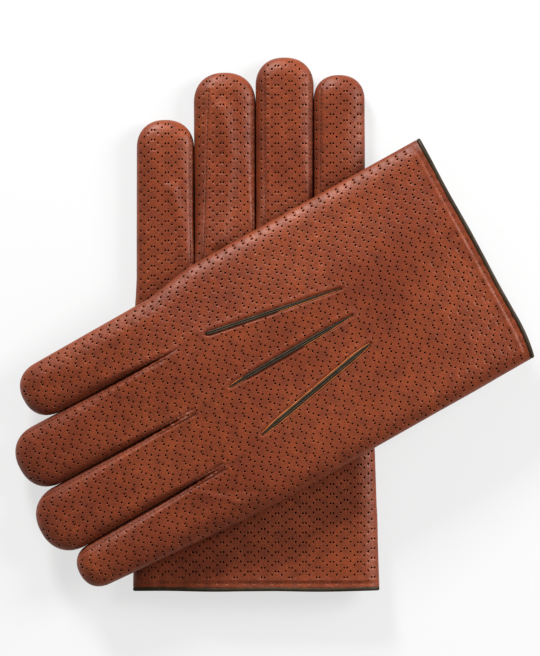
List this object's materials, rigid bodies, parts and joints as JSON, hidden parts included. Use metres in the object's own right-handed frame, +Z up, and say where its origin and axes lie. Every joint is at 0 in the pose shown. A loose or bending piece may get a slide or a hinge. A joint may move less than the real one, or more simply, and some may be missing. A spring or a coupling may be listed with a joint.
{
  "type": "pair of leather dress gloves",
  "caption": "Unlined perforated leather dress gloves, laid crossed with backs up: piped cuffs, raised back points, folding fingers and tucked thumbs.",
  "frame": {"origin": "middle of the pair's footprint, on the surface it lies on", "axes": "+Z up from that surface, +Y along the lower glove from its cuff to its fingertips, +X to the lower glove's index side"},
  "size_m": [0.2408, 0.2472, 0.0315],
  "materials": {
    "leather_back": "satin, perforated",
    "leather_palm": "satin, perforated",
    "leather_gusset": "satin, perforated",
    "piping": "dull, folded edge"
  },
  "bodies": {
    "left_glove": {"left_back_panel": "leather_back", "left_palm_panel": "leather_palm", "left_fourchette_little_ring": "leather_gusset", "left_fourchette_ring_middle": "leather_gusset", "left_fourchette_middle_index": "leather_gusset", "left_back_point_1": "piping", "left_back_point_2": "piping", "left_back_point_3": "piping", "left_cuff_piping": "piping"},
    "left_little": {"left_little_finger": "leather_back"},
    "left_ring": {"left_ring_finger": "leather_back"},
    "left_middle": {"left_middle_finger": "leather_back"},
    "left_index": {"left_index_finger": "leather_back"},
    "left_thumb_body": {"left_thumb": "leather_palm"},
    "right_glove": {"right_back_panel": "leather_back", "right_palm_panel": "leather_palm", "right_fourchette_little_ring": "leather_gusset", "right_fourchette_ring_middle": "leather_gusset", "right_fourchette_middle_index": "leather_gusset", "right_back_point_1": "piping", "right_back_point_2": "piping", "right_back_point_3": "piping", "right_cuff_piping": "piping"},
    "right_little": {"right_little_finger": "leather_back"},
    "right_ring": {"right_ring_finger": "leather_back"},
    "right_middle": {"right_middle_finger": "leather_back"},
    "right_index": {"right_index_finger": "leather_back"},
    "right_thumb_body": {"right_thumb": "leather_palm"}
  },
  "joints": [
    {"name": "right_glove_lift", "type": "slide", "parent": "left_glove", "child": "right_glove", "axis": [0, 0, 1], "range_m": [0, 0.12]},
    {"name": "left_little_fold", "type": "hinge", "parent": "left_glove", "child": "left_little", "pos_m": [-0.05189, 0.0566, 0.01092], "axis": [1, 0, 0.0078], "range_deg": [0, 90]},
    {"name": "left_ring_fold", "type": "hinge", "parent": "left_glove", "child": "left_ring", "pos_m": [-0.02429, 0.0716, 0.01085], "axis": [1, 0, 0], "range_deg": [0, 90]},
    {"name": "left_middle_fold", "type": "hinge", "parent": "left_glove", "child": "left_middle", "pos_m": [0.00326, 0.0766, 0.01085], "axis": [1, 0, 0], "range_deg": [0, 90]},
    {"name": "left_index_fold", "type": "hinge", "parent": "left_glove", "child": "left_index", "pos_m": [0.02881, 0.0806, 0.01085], "axis": [1, 0, 0], "range_deg": [0, 90]},
    {"name": "left_thumb_swing", "type": "hinge", "parent": "left_glove", "child": "left_thumb_body", "pos_m": [0.02601, -0.0634, 0.0041], "axis": [0, 0, -1], "range_deg": [0, 50]},
    {"name": "right_little_fold", "type": "hinge", "parent": "right_glove", "child": "right_little", "pos_m": [-0.08633, -0.0175, 0.02369], "axis": [-0.4786, 0.8742, -0.0824], "range_deg": [0, 90]},
    {"name": "right_ring_fold", "type": "hinge", "parent": "right_glove", "child": "right_ring", "pos_m": [-0.08095, -0.04607, 0.02447], "axis": [-0.4791, 0.8751, -0.0677], "range_deg": [0, 90]},
    {"name": "right_middle_fold", "type": "hinge", "parent": "right_glove", "child": "right_middle", "pos_m": [-0.07212, -0.0747, 0.02556], "axis": [-0.4796, 0.876, -0.05], "range_deg": [0, 90]},
    {"name": "right_index_fold", "type": "hinge", "parent": "right_glove", "child": "right_index", "pos_m": [-0.0555, -0.09673, 0.02671], "axis": [-0.4802, 0.877, -0.0166], "range_deg": [0, 90]},
    {"name": "right_thumb_swing", "type": "hinge", "parent": "right_glove", "child": "right_thumb_body", "pos_m": [0.05752, -0.02413, 0.0201], "axis": [0, 0, 1], "range_deg": [0, 50]}
  ]
}
